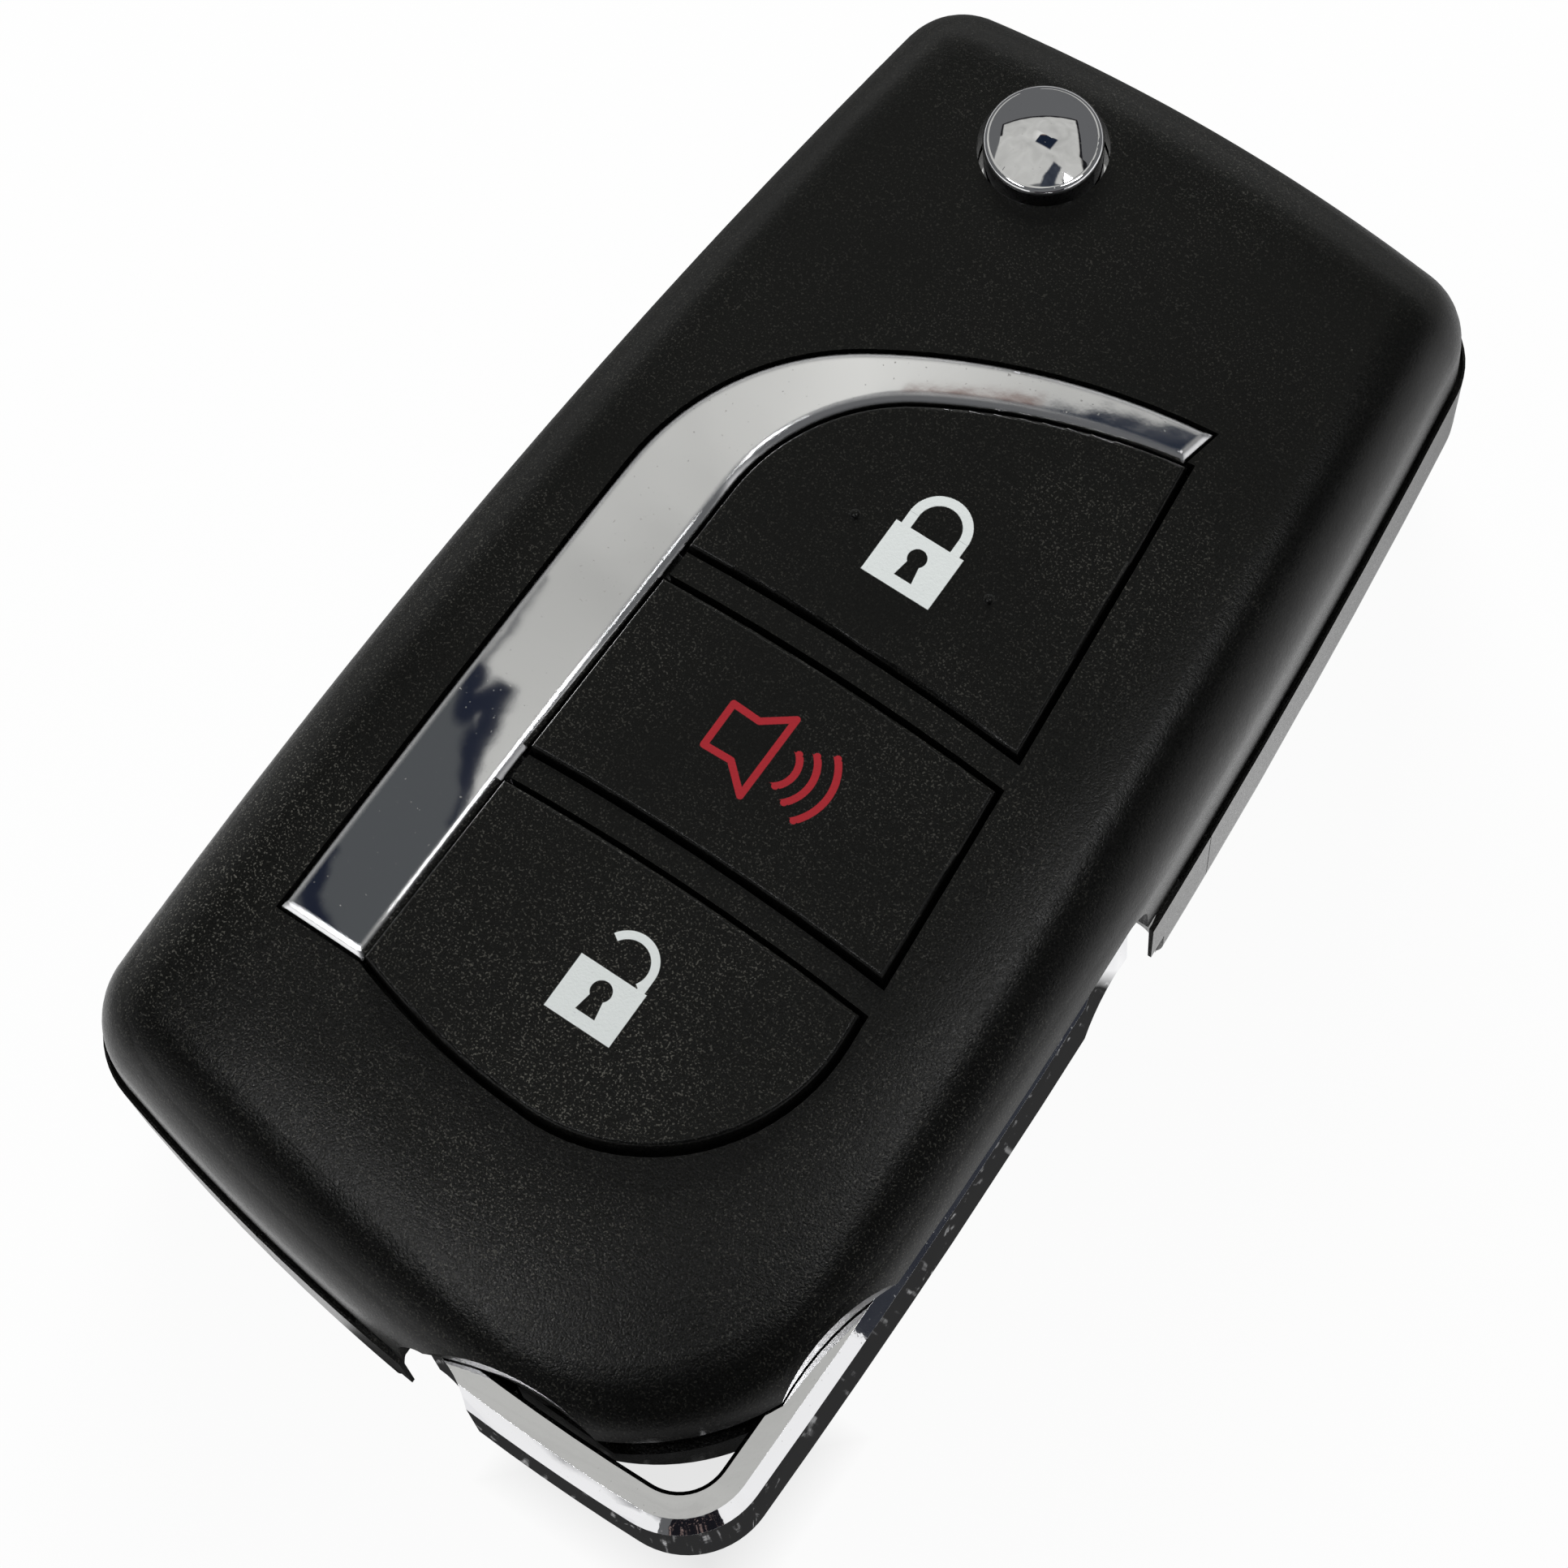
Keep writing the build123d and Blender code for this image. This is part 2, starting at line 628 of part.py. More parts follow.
with BuildPart() as key_blade:
    left = blade_x - blade_width / 2
    right = blade_x + blade_width / 2
    with BuildSketch(Plane.XY.offset(blade_low)):
        with BuildLine():
            Polyline((left, head_end + blade_root), (left, blade_tip_y + blade_width / 2),
                     (blade_x - blade_width / 8, blade_tip_y), (blade_x + blade_width / 8, blade_tip_y),
                     (right, blade_tip_y + blade_width / 2), (right, head_end + blade_root),
                     (left, head_end + blade_root))
        make_face()
    extrude(amount=blade_thickness)
    # Long grooves in both faces
    groove_low = blade_tip_y + blade_width / 2
    block(blade_x - blade_width / 4, blade_x - blade_width / 4 + blade_groove, groove_low, head_end - blade_side,
          blade_low + blade_thickness - blade_groove_depth, seam_height, Mode.SUBTRACT)
    block(blade_x + blade_width / 4 - blade_groove, blade_x + blade_width / 4, groove_low, head_end - blade_side,
          0, blade_low + blade_groove_depth, Mode.SUBTRACT)
    upright((blade_x, head_end + blade_root / 2), pin_radius, 0, seam_height, Mode.SUBTRACT)
key_blade.part.label = "key_blade"

with BuildPart() as blade_pin:
    upright((blade_x, head_end + blade_root / 2), pin_radius, head_low, head_top)
blade_pin.part.label = "blade_pin"

# Spring in the hub's bore, under the release button
spring_radius = hub_bore - spring_wire
spring_rise = release_stem_low - hub_bore_low - spring_wire
with BuildPart() as hub_spring:
    with BuildLine() as coil:
        Helix(pitch=spring_rise / spring_turns, height=spring_rise, radius=spring_radius,
              center=(*pivot, hub_bore_low + spring_wire / 2))
    with BuildSketch(Plane(origin=coil.line @ 0, z_dir=coil.line % 0)):
        Circle(spring_wire / 2)
    sweep(path=coil.line, is_frenet=True)
hub_spring.part.label = "hub_spring"

# Release button: domed head, holding rim and stem
lip_low = release_lip_top - release_lip_thickness
with BuildPart() as release_button:
    with BuildSketch(Plane.XZ):
        with BuildLine():
            Polyline((0, release_rim + release_dome), (0, release_stem_low), (release_stem, release_stem_low),
                     (release_stem, lip_low), (release_lip, lip_low), (release_lip, release_lip_top),
                     (release_radius, release_lip_top), (release_radius, release_rim - release_edge))
            ThreePointArc((release_radius, release_rim - release_edge),
                          (release_radius - release_edge * (1 - math.sqrt(0.5)),
                           release_rim - release_edge * (1 - math.sqrt(0.5))),
                          (release_radius - release_edge, release_rim))
            RadiusArc((release_radius - release_edge, release_rim), (0, release_rim + release_dome),
                      -((release_radius - release_edge) ** 2 + release_dome ** 2) / (2 * release_dome))
        make_face()
    revolve(axis=Axis.Z)
release_button_turned = release_button.part.moved(Location((*pivot, 0)))
with BuildPart() as release_button:
    add(release_button_turned)
release_button.part.label = "release_button"

# Three keys with a holding lip under the face
key_bottom_level = key_lip_top - key_lip_thickness
keys = []
for number, name in enumerate(("lock_button", "panic_button", "unlock_button")):
    with BuildPart() as key:
        extrude(key_plan(number, key_bottom_level), amount=key_height - key_bottom_level)
        fillet(key.faces().sort_by(Axis.Z)[-1].edges(), key_edge)
        extrude(key_plan(number, key_bottom_level, key_lip), amount=key_lip_thickness)
        if number == 0:
            for place in bump_places:
                with Locations((*place, key_height - bump_radius + bump_height)):
                    Sphere(bump_radius)
    key.part.label = name
    keys.append(key)

# Rubber sheet under the keys, standing on the board with its rim
with BuildPart() as keypad_membrane:
    extrude(keypad_plan(board_top, membrane_reach), amount=membrane_top - board_top)
    extrude(keypad_plan(board_top, membrane_reach - membrane_rim),
            amount=membrane_top - membrane_sheet - board_top, mode=Mode.SUBTRACT)
    for place in switch_places:
        upright(place, pad_radius, membrane_top, membrane_top + pad_height)
        upright(place, plunger_radius + fit, board_top + switch_height + plunger_height + fit / 4,
                membrane_top - membrane_sheet)
keypad_membrane.part.label = "keypad_membrane"

# Circuit board over the cell, with what is soldered to it
with BuildPart() as circuit_board:
    with BuildSketch(Plane.XY.offset(board_low)):
        add(case_plan(board_low, wall + board_room))
        add(loop_zone(board_low, thin_wall + board_room), mode=Mode.SUBTRACT)
        with Locations((bay_wall_x + board_side_gap, board_top_y)):
            Rectangle(case_width, case_length * 2, align=(Align.MIN, Align.MAX), mode=Mode.INTERSECT)
    extrude(amount=board_thickness)
    for place in (right_post, low_post):
        upright(place, anchor_hole + board_rest, 0, face_height, Mode.SUBTRACT)
circuit_board.part.label = "circuit_board"

switches = []
for place, name in zip(switch_places, ("lock_switch", "panic_switch", "unlock_switch")):
    with BuildPart() as switch:
        with Locations((*place, board_top)):
            Box(switch_size, switch_size, switch_height, align=(Align.CENTER, Align.CENTER, Align.MIN))
        chamfer(switch.edges().filter_by(Axis.Z), switch_size / 10)
        upright(place, plunger_radius, board_top, board_top + switch_height + plunger_height)
    switch.part.label = name
    switches.append(switch)

with BuildPart() as control_chip:
    left, near = control_place[0], cross_rib_y + thin_wall + control_place[1]
    block(left, left + control_size, near, near + control_size, board_low - control_height, board_low)
control_chip.part.label = "control_chip"

with BuildPart() as crystal_can:
    left, near = crystal_place[0], board_top_y - crystal_place[1]
    block(left, left + crystal_length, near, near + crystal_width, board_low - crystal_height, board_low)
    fillet(crystal_can.edges().filter_by(Axis.Z), crystal_width / 2 - fit)
crystal_can.part.label = "crystal_can"

with BuildPart() as transponder_chip:
    with Locations((*chip_place, wall)):
        Box(chip_length, chip_width, chip_height, align=(Align.CENTER, Align.CENTER, Align.MIN))
    chamfer(transponder_chip.faces().sort_by(Axis.Z)[-1].edges(), chip_height / 8)
transponder_chip.part.label = "transponder_chip"

with BuildPart() as battery_cell:
    upright(cell_place, cell_radius, cell_low, cell_low + cell_thickness)
    fillet(battery_cell.edges(), cell_thickness / 6)
battery_cell.part.label = "battery_cell"

# Leaf that presses on the middle of the cell, and leaf that presses on its edge
cell_top = cell_low + cell_thickness
with BuildPart() as cell_face_contact:
    with BuildSketch(Plane.YZ.offset(cell_place[0] - contact_width / 2)):
        with BuildLine():
            far = cell_place[1] + cell_radius * 0.75
            near = cell_place[1]
            Polyline((far, board_low), (far - contact_width, board_low), (near, cell_top + contact_thickness),
                     (near - contact_width, cell_top + contact_thickness), (near - contact_width, cell_top),
                     (near, cell_top), (far - contact_width, board_low - contact_thickness),
                     (far, board_low - contact_thickness), (far, board_low))
        make_face()
    extrude(amount=contact_width)
cell_face_contact.part.label = "cell_face_contact"

with BuildPart() as cell_edge_contact:
    edge_x = cell_place[0] - cell_radius
    near = cell_place[1] - contact_width / 2
    block(edge_x - contact_thickness, edge_x, near, near + contact_width, cell_low + fit, board_low)
    block(edge_x - contact_thickness, edge_x + contact_width / 2, near, near + contact_width,
          board_low - contact_thickness, board_low)
cell_edge_contact.part.label = "cell_edge_contact"

# Two screws from the back, with cross recesses
with BuildPart() as case_screws:
    for place in screw_places:
        upright(place, screw_head, screw_low, screw_low + screw_head_height)
        upright(place, screw_radius, screw_low + screw_head_height, screw_low + screw_length)
        with Locations((*place, 0)):
            Box(screw_head * 1.2, screw_recess, screw_low + screw_head_height, mode=Mode.SUBTRACT)
            Box(screw_recess, screw_head * 1.2, screw_low + screw_head_height, mode=Mode.SUBTRACT)
case_screws.part.label = "case_screws"

pieces = [front_shell, rear_shell, battery_cover, trim_inlay, key_loop, blade_hub, key_blade, blade_pin,
          hub_spring, release_button, *keys, keypad_membrane, circuit_board, *switches, control_chip,
          crystal_can, transponder_chip, battery_cell, cell_face_contact, cell_edge_contact, case_screws]
for piece in pieces:
    export_step(piece.part, f"parts/{piece.part.label}.step")
    print(piece.part.label, len(piece.part.solids()), round(piece.part.volume, 1))
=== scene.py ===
import json
import math

import bpy
from mathutils import Matrix, Vector

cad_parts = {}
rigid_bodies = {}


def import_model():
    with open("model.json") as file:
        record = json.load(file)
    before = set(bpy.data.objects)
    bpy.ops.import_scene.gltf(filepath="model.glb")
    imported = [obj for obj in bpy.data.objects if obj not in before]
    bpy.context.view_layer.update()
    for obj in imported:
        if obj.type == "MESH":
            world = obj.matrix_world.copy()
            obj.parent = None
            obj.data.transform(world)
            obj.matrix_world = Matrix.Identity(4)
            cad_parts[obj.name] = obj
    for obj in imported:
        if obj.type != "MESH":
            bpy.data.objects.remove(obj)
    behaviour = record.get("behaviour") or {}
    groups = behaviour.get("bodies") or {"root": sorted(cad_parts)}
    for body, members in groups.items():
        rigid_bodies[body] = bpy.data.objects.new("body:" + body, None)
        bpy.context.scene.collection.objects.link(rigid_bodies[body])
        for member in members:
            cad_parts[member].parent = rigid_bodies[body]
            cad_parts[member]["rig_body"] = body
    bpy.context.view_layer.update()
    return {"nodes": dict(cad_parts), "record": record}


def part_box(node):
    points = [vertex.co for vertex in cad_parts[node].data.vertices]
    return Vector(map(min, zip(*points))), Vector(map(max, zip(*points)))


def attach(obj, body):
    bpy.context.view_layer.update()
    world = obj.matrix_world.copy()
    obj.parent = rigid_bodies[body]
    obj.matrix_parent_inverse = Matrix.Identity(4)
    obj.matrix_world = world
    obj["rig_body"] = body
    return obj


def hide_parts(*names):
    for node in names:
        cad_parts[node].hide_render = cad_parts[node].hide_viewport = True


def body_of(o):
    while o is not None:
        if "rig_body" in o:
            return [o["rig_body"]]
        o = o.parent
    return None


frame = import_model()
MM = 0.001

# Camera, as fitted to the photograph
CAMERA_PLACE = Vector((0.04967, -0.05291, 0.20423))
CAMERA_RIGHT = Vector((0.819, 0.5708, -0.0583))
CAMERA_UP = Vector((-0.5228, 0.7842, 0.3343))
CAMERA_LENS = 105.07
CAMERA_SENSOR = 36
CAMERA_SHIFT = -0.0016

# Crowned face of the case and the outline round it, in millimetres
FACE_HEIGHT = 16.0
CROWN_RADIUS = 520.0
CROWN_Y = 6.0
CASE_LEFT = -18.95
CASE_RIGHT = 19.05
CASE_TOP = 34.55
CASE_BOTTOM = -34.25
BOTTOM_RADIUS = 105.0
LOWEST_X = 10.5

# Colours
BLACK = (0.0050, 0.0051, 0.0046)
# Light flecks and dust in the grain; towards the lower right the flecks are also painted sparkle
FLECK_AND_SPARKLE = (0.16, 0.155, 0.135)
DUST = (0.45, 0.44, 0.42)
WHITE_PRINT = (0.86, 0.90, 0.89)
RED_PRINT = (0.43, 0.024, 0.034)


# Materials as arithmetic

class Value:
    """Something that changes over a surface. Arithmetic on it adds Math nodes."""

    def __init__(self, finish, socket):
        self.finish = finish
        self.socket = socket

    def maths(self, operation, *others):
        inputs = dict(enumerate((self, *others)))
        return self.finish.node("ShaderNodeMath", {"operation": operation}, inputs)

    def __add__(self, other):
        return self.maths("ADD", other)

    def __sub__(self, other):
        return self.maths("SUBTRACT", other)

    def __rsub__(self, other):
        return self * -1 + other

    def __mul__(self, other):
        return self.maths("MULTIPLY", other)

    def __truediv__(self, other):
        return self.maths("DIVIDE", other)

    def __pow__(self, other):
        return self.maths("POWER", other)

    def __neg__(self):
        return self * -1

    def __abs__(self):
        return self.maths("ABSOLUTE")

    __radd__ = __add__
    __rmul__ = __mul__

    def root(self):
        return self.maths("SQRT")

    def clamped(self):
        return self.finish.node("ShaderNodeClamp", {}, {"Value": self})


def larger(a, b):
    return a.maths("MAXIMUM", b)


def smaller(a, b):
    return a.maths("MINIMUM", b)


def softly_smaller(a, b, reach=5):
    """The smaller of two values, with a rounded change from one to the other."""
    near = larger(reach - abs(a - b), 0)
    return smaller(a, b) - near * near / (4 * reach)


class Finish:
    """A material, with one method that adds any node."""

    def __init__(self, name):
        self.material = bpy.data.materials.new(name)
        self.material.use_nodes = True
        self.tree = self.material.node_tree
        self.shader = self.tree.nodes["Principled BSDF"]

    def node(self, kind, settings=None, inputs=None, output=0):
        made = self.tree.nodes.new(kind)
        for name, value in (settings or {}).items():
            setattr(made, name, value)
        for name, value in (inputs or {}).items():
            self.feed(made.inputs[name], value)
        return Value(self, made.outputs[output])

    def feed(self, socket, value):
        if isinstance(value, Value):
            self.tree.links.new(value.socket, socket)
        elif hasattr(socket.default_value, "__len__") and len(value) < len(socket.default_value):
            socket.default_value = (*value, 1)
        else:
            socket.default_value = value

    def set(self, **sockets):
        for name, value in sockets.items():
            self.feed(self.shader.inputs[name.replace("_", " ")], value)

    def place(self):
        """Object position, and its three parts in millimetres."""
        position = self.node("ShaderNodeTexCoord", output="Object")
        parts = [self.node("ShaderNodeSeparateXYZ", {}, {0: position}, axis) * 1000 for axis in range(3)]
        return position, parts

    def mix(self, factor, low, high):
        """One colour turning into another."""
        return self.node("ShaderNodeMix", {"data_type": "RGBA"}, {0: factor, 6: low, 7: high}, 2)

    def noise(self, position, scale, detail=3, roughness=0.5, distortion=0.0):
        return self.node("ShaderNodeTexNoise", {}, {"Vector": position, "Scale": scale, "Detail": detail,
                                                    "Roughness": roughness, "Distortion": distortion})

    def spots(self, position, scale, detail, level, steepness):
        """1 where a noise rises above a level, 0 where it lies lower."""
        return ((self.noise(position, scale, detail) - level) * steepness).clamped()

    def cells(self, position, scale, feature="F1", randomness=1.0):
        return self.node("ShaderNodeTexVoronoi", {"feature": feature},
                         {"Vector": position, "Scale": scale, "Randomness": randomness})

    def bump(self, height, distance, strength=1.0, edge=None):
        """Relief from a height. With an edge, in millimetres, corners are shaded as if rounded."""
        inputs = {"Height": height, "Distance": distance, "Strength": strength}
        if edge:
            inputs["Normal"] = self.node("ShaderNodeBevel", {"samples": 6}, {"Radius": edge * MM})
        self.feed(self.shader.inputs["Normal"], self.node("ShaderNodeBump", {}, inputs))


# Signed distances in millimetres, from which printed signs and mirrored shapes are made

def to_circle(x, y, middle, radius):
    """Distance to a disc."""
    return ((x - middle[0]) ** 2 + (y - middle[1]) ** 2).root() - radius


def to_box(x, y, left, right, low, high):
    """Distance to a rectangle."""
    across = abs(x - (left + right) / 2) - (right - left) / 2
    along = abs(y - (low + high) / 2) - (high - low) / 2
    return larger(across, along)


def to_stroke(x, y, start, end, width):
    """Distance to a straight stroke with round ends."""
    run = (end[0] - start[0], end[1] - start[1])
    size = run[0] ** 2 + run[1] ** 2
    along = (((x - start[0]) * run[0] + (y - start[1]) * run[1]) / size).clamped()
    return ((x - start[0] - along * run[0]) ** 2 + (y - start[1] - along * run[1]) ** 2).root() - width / 2


def to_strokes(x, y, points, width):
    """Distance to a line of strokes from point to point."""
    nearest = None
    for start, end in zip(points, points[1:]):
        stroke = to_stroke(x, y, start, end, width)
        nearest = stroke if nearest is None else smaller(nearest, stroke)
    return nearest


def to_arc(x, y, start, middle, end, width):
    """Distance to a stroke that bows to the right through three points."""
    (ax, ay), (bx, by), (cx, cy) = start, middle, end
    turn = 2 * (ax * (by - cy) + bx * (cy - ay) + cx * (ay - by))
    a2, b2, c2 = ax * ax + ay * ay, bx * bx + by * by, cx * cx + cy * cy
    centre = ((a2 * (by - cy) + b2 * (cy - ay) + c2 * (ay - by)) / turn,
              (a2 * (cx - bx) + b2 * (ax - cx) + c2 * (bx - ax)) / turn)
    ring = abs(to_circle(x, y, centre, math.dist(centre, start))) - width / 2
    outside = larger(larger(min(ay, cy) - y, y - max(ay, cy)), centre[0] - x)
    ends = smaller(to_circle(x, y, start, width / 2), to_circle(x, y, end, width / 2))
    return smaller(larger(ring, outside), ends)


def inside(distance, edge):
    """1 inside a shape, 0 outside it, with an edge of some width."""
    return (0.5 - distance / edge).clamped()


# Printed signs

def to_keyhole(x, y, middle, radius, low):
    """Distance to a round keyhole with a slot that widens downwards."""
    narrow = radius * 0.55
    flare = (middle[1] - y) / (middle[1] - low)
    slot = larger(abs(x - middle[0]) - (flare * (radius - narrow) + narrow), larger(low - y, y - middle[1]))
    return smaller(to_circle(x, y, middle, radius), slot)


def to_padlock(x, y, sides, shackle, outer, inner, hole, hole_radius, hole_low, is_open):
    """Distance to a padlock: body, shackle and keyhole. An open one has its left leg cut off."""
    body_round = 0.12
    overlap = 0.2
    leg_low = sides[3] - overlap
    body = to_box(x, y, *sides) - body_round
    ring = larger(to_circle(x, y, shackle, outer), -to_circle(x, y, shackle, inner))
    legs = to_box(x, y, shackle[0] + inner, shackle[0] + outer, leg_low, shackle[1])
    if is_open:
        ring = larger(ring, (shackle[1] - y + (shackle[0] - x) * 0.64) * 0.84)
    else:
        ring = larger(ring, shackle[1] - y)
        left_leg = to_box(x, y, shackle[0] - outer, shackle[0] - inner, leg_low, shackle[1])
        legs = smaller(left_leg, legs)
    solid = smaller(body, smaller(ring, legs))
    return larger(solid, -to_keyhole(x, y, hole, hole_radius, hole_low))


def lock_sign(x, y):
    return to_padlock(x, y, (-0.60, 2.77, 6.06, 8.64), shackle=(1.10, 9.44), outer=1.55, inner=1.07,
                      hole=(1.12, 7.70), hole_radius=0.46, hole_low=6.53, is_open=False)


def unlock_sign(x, y):
    return to_padlock(x, y, (-0.48, 2.74, -18.22, -15.64), shackle=(1.28, -14.79), outer=1.46, inner=1.06,
                      hole=(1.12, -16.47), hole_radius=0.51, hole_low=-17.7, is_open=True)


def alarm_sign(x, y):
    """Distance to a horn, drawn in one line, with three sound waves."""
    line = 0.34
    horn = [(-1.73, -2.45), (-0.31, -2.50), (1.02, -1.53), (0.97, -5.81), (-0.31, -4.69), (-1.73, -4.74),
            (-1.73, -2.45)]
    waves = [[(2.04, -2.81), (2.40, -3.67), (1.99, -4.59)], [(2.75, -2.45), (3.26, -3.67), (2.75, -5.00)],
             [(3.57, -2.04), (4.23, -3.67), (3.57, -5.46)]]
    sign = to_strokes(x, y, horn, line)
    for wave in waves:
        sign = smaller(sign, to_arc(x, y, *wave, line))
    return sign


# Finishes

def from_case_edge(x, y):
    """How far a place of the face lies in from the case's outline."""
    low_edge = y - CASE_BOTTOM - (x - LOWEST_X) * (x - LOWEST_X) / (2 * BOTTOM_RADIUS)
    right_and_low = softly_smaller(CASE_RIGHT - x, low_edge, 16)
    return softly_smaller(right_and_low, softly_smaller(x - CASE_LEFT, CASE_TOP - y))


def grained_plastic(name, print_sign=None, print_colour=None, crowned=False):
    """Black moulded plastic with a fine spark-eroded grain, light flecks and a little dust. The flecks are
    partly painted sparkle.
    """
    finish = Finish(name)
    position, (x, y, z) = finish.place()
    cloud = finish.noise(position, 90, 3)
    grain = finish.noise(position, 8200, 2, 0.6)
    swell = finish.noise(position, 2600, 2)
    flecks = finish.spots(position, 9800, 1, 0.58, 8) * (0.25 + (cloud - 0.35) * 2.6).clamped()
    dust = ((0.06 - finish.cells(position, 900)) * 30).clamped() * finish.spots(position, 400, 1, 0.62, 12)
    # Coarser relief towards the lower right, where the lighter flecks also grow as painted sparkle
    coarseness_and_sparkle = ((x * 0.6 - y + 20) / 45).clamped() + 0.3
    colour = finish.mix((cloud - 0.3) * 0.9, BLACK, tuple(c * 1.4 for c in BLACK))
    colour = finish.mix((flecks * coarseness_and_sparkle * 0.55 + dust * 0.5).clamped(), colour, FLECK_AND_SPARKLE)
    rough = 0.31 + (grain - 0.5) * 0.5 + (cloud - 0.5) * 0.06
    height = grain * (0.010 + coarseness_and_sparkle * 0.012) + swell * 0.008
    if crowned:
        # The shading bends down before the shoulder, in two steps
        inset = from_case_edge(x, y)
        bend = ((7.4 - inset) / 3.6).clamped()
        height = height - bend * bend * 0.376 - ((3.8 - inset) / 2.5).clamped() * 0.522
    if print_sign:
        mask = inside(print_sign(x, y), 0.03) * inside(FACE_HEIGHT - z, 0.05)
        mask = mask * (1 - finish.spots(position, 5200, 2, 0.70, 6) * 0.3)
        colour = finish.mix(mask, colour, print_colour)
        rough = rough + mask * 0.1
        height = height * (1 - mask * 0.6) + mask * 0.012
    facing = finish.node("ShaderNodeLayerWeight", output="Facing")
    finish.set(Base_Color=colour, Roughness=rough, Coat_Roughness=0.38, Specular_IOR_Level=0.13,
               Coat_Weight=((facing - 0.10) * 3).clamped() * (0.35 + grain * 0.3).clamped())
    finish.bump(height, MM)
    return finish.material


def polished_chrome(name, tint=(0.82, 0.82, 0.84), roughness=0.03, waves=0.5, pits=0.04, edge=None):
    """Bright plating with a faint orange-peel waviness and a little dust."""
    finish = Finish(name)
    position, _ = finish.place()
    peel = finish.noise(position, 320, 2)
    dust = finish.spots(position, 5200, 1, 0.73, 12)
    haze = finish.noise(position, 150, 3)
    finish.set(Base_Color=finish.mix(dust * 0.5, tint, DUST), Metallic=1.0,
               Roughness=(roughness + dust * 0.25 + (haze - 0.5) * 0.03).clamped())
    finish.bump(peel + finish.noise(position, 2400, 2) * pits, 0.02 * MM * waves, 0.35, edge)
    return finish.material


def metal(name, colour, roughness, grain_scale, stretch=(1, 1, 1)):
    """Drawn, brushed or pressed metal."""
    finish = Finish(name)
    position, _ = finish.place()
    stretched = finish.node("ShaderNodeMapping", {}, {"Vector": position, "Scale": stretch})
    grain = finish.noise(stretched, grain_scale, 4, 0.6)
    cloud = finish.noise(position, 260, 3)
    dull = tuple(c * 0.82 for c in colour)
    finish.set(Base_Color=finish.mix((cloud - 0.25) * 0.8, dull, colour), Metallic=1.0,
               Roughness=roughness + (grain - 0.5) * 0.25)
    finish.bump(grain, 0.03 * MM, 0.5)
    return finish.material


def moulded(name, colour, roughness):
    """Plain moulded rubber or plastic with a little texture."""
    finish = Finish(name)
    position, _ = finish.place()
    grain = finish.noise(position, 3000, 3)
    cloud = finish.noise(position, 200, 3)
    dull = tuple(c * 0.75 for c in colour)
    finish.set(Base_Color=finish.mix((cloud - 0.25) * 0.9, dull, colour),
               Roughness=roughness + (grain - 0.5) * 0.15)
    finish.bump(grain, 0.03 * MM, 0.4)
    return finish.material


def lacquered_board():
    """Green lacquered laminate with copper tracks under the lacquer."""
    finish = Finish("board_lacquer")
    position, _ = finish.place()
    lines = ((0.06 - finish.cells(position, 620, "DISTANCE_TO_EDGE", 0.6)) * 22).clamped()
    cloud = finish.noise(position, 300, 3)
    colour = finish.mix(lines * 0.6, (0.012, 0.09, 0.035), (0.03, 0.20, 0.07))
    finish.set(Base_Color=finish.mix((cloud - 0.4) * 0.5, colour, (0.01, 0.06, 0.03)),
               Roughness=0.32 + (cloud - 0.5) * 0.1)
    finish.bump(lines, 0.03 * MM, 0.5)
    return finish.material


# By node where a piece has its own finish, and by material slot for the rest
FINISHES = {
    "case_plastic": grained_plastic("case_grain"),
    "front_shell": grained_plastic("front_grain", crowned=True),
    "lock_button": grained_plastic("lock_key_grain", lock_sign, WHITE_PRINT),
    "panic_button": grained_plastic("alarm_key_grain", alarm_sign, RED_PRINT),
    "unlock_button": grained_plastic("unlock_key_grain", unlock_sign, WHITE_PRINT),
    "bright_chrome": polished_chrome("button_plating"),
    "trim_inlay": polished_chrome("inlay_plating", edge=0.32),
    "cast_chrome": polished_chrome("loop_plating", (0.76, 0.76, 0.78), roughness=0.04, waves=1.6, pits=0.25),
    "hub_metal": metal("hub_black", (0.06, 0.06, 0.065), 0.45, 2600),
    "blade_steel": metal("blade_brushed", (0.62, 0.62, 0.63), 0.32, 900, (1, 14, 1)),
    "spring_steel": metal("drawn_wire", (0.5, 0.5, 0.52), 0.3, 4000),
    "screw_steel": metal("dark_zinc", (0.30, 0.30, 0.31), 0.38, 3000),
    "soft_rubber": moulded("soft_rubber", (0.10, 0.10, 0.11), 0.75),
    "board_laminate": lacquered_board(),
    "chip_plastic": moulded("chip_plastic", (0.05, 0.05, 0.055), 0.5),
    "switch_metal": metal("pressed_tin", (0.66, 0.66, 0.66), 0.3, 2500),
    "cell_steel": metal("cell_steel", (0.72, 0.72, 0.73), 0.25, 1500),
    "contact_metal": metal("plated_leaf", (0.78, 0.62, 0.36), 0.28, 2500),
}

slots = {row["node"]: row["material_slot"] for row in frame["record"]["subparts"]}
for node, thing in frame["nodes"].items():
    for place in thing.material_slots:
        place.material = FINISHES.get(node) or FINISHES[slots[node]]


# Key ring loop with worn edges

